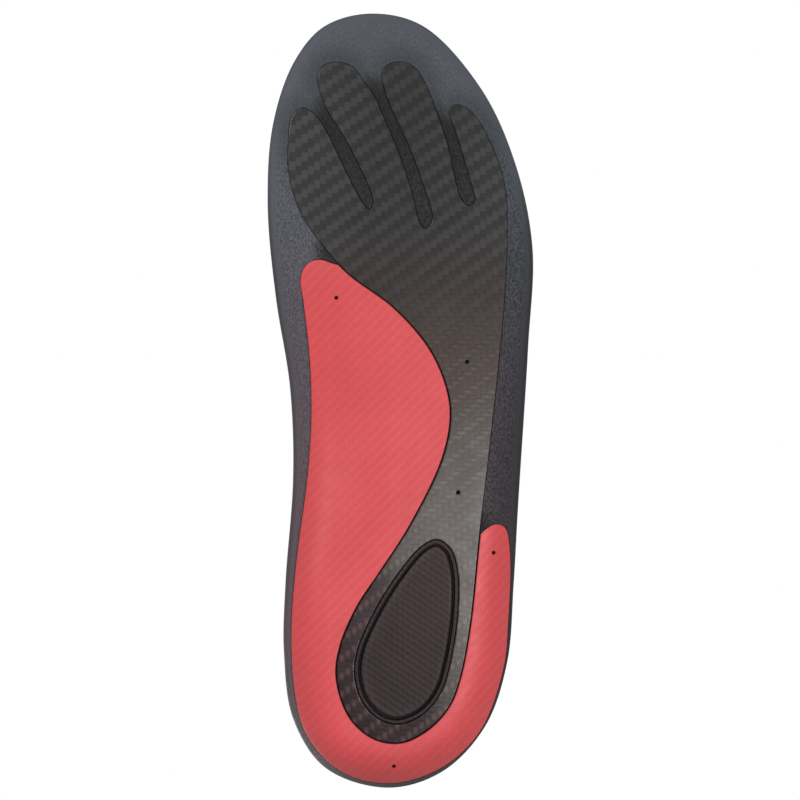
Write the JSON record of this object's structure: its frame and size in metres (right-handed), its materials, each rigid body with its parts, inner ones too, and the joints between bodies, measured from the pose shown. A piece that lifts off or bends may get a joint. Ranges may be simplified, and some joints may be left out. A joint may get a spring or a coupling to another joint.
{
  "type": "shoe insole",
  "caption": "Left-foot cushioned sports insole: knit cover and foam on a moulded base, slotted carbon-look plate, J-shaped arch and heel shell, teardrop heel pad",
  "frame": {"origin": "centre of the bounding box, on the plane the insole lies on", "axes": "+Y to the toes, +X to the big-toe side, +Z to the foot"},
  "size_m": [0.0952, 0.28, 0.0251],
  "materials": {
    "cover_knit": "printed knit, black with red stripes",
    "cushion_foam": "open-cell foam, matt",
    "base_foam": "moulded foam with a fine leather grain, matt",
    "plate_weave": "carbon-look twill, satin",
    "shell_plastic": "fine ribbed texture, satin",
    "pad_gel": "fine diagonal rib, matt"
  },
  "bodies": {
    "root": {"top_cover": "cover_knit", "cushion_sheet": "cushion_foam", "foam_base": "base_foam", "stabiliser_plate": "plate_weave", "arch_heel_shell": "shell_plastic", "heel_pad": "pad_gel"}
  },
  "joints": []
}
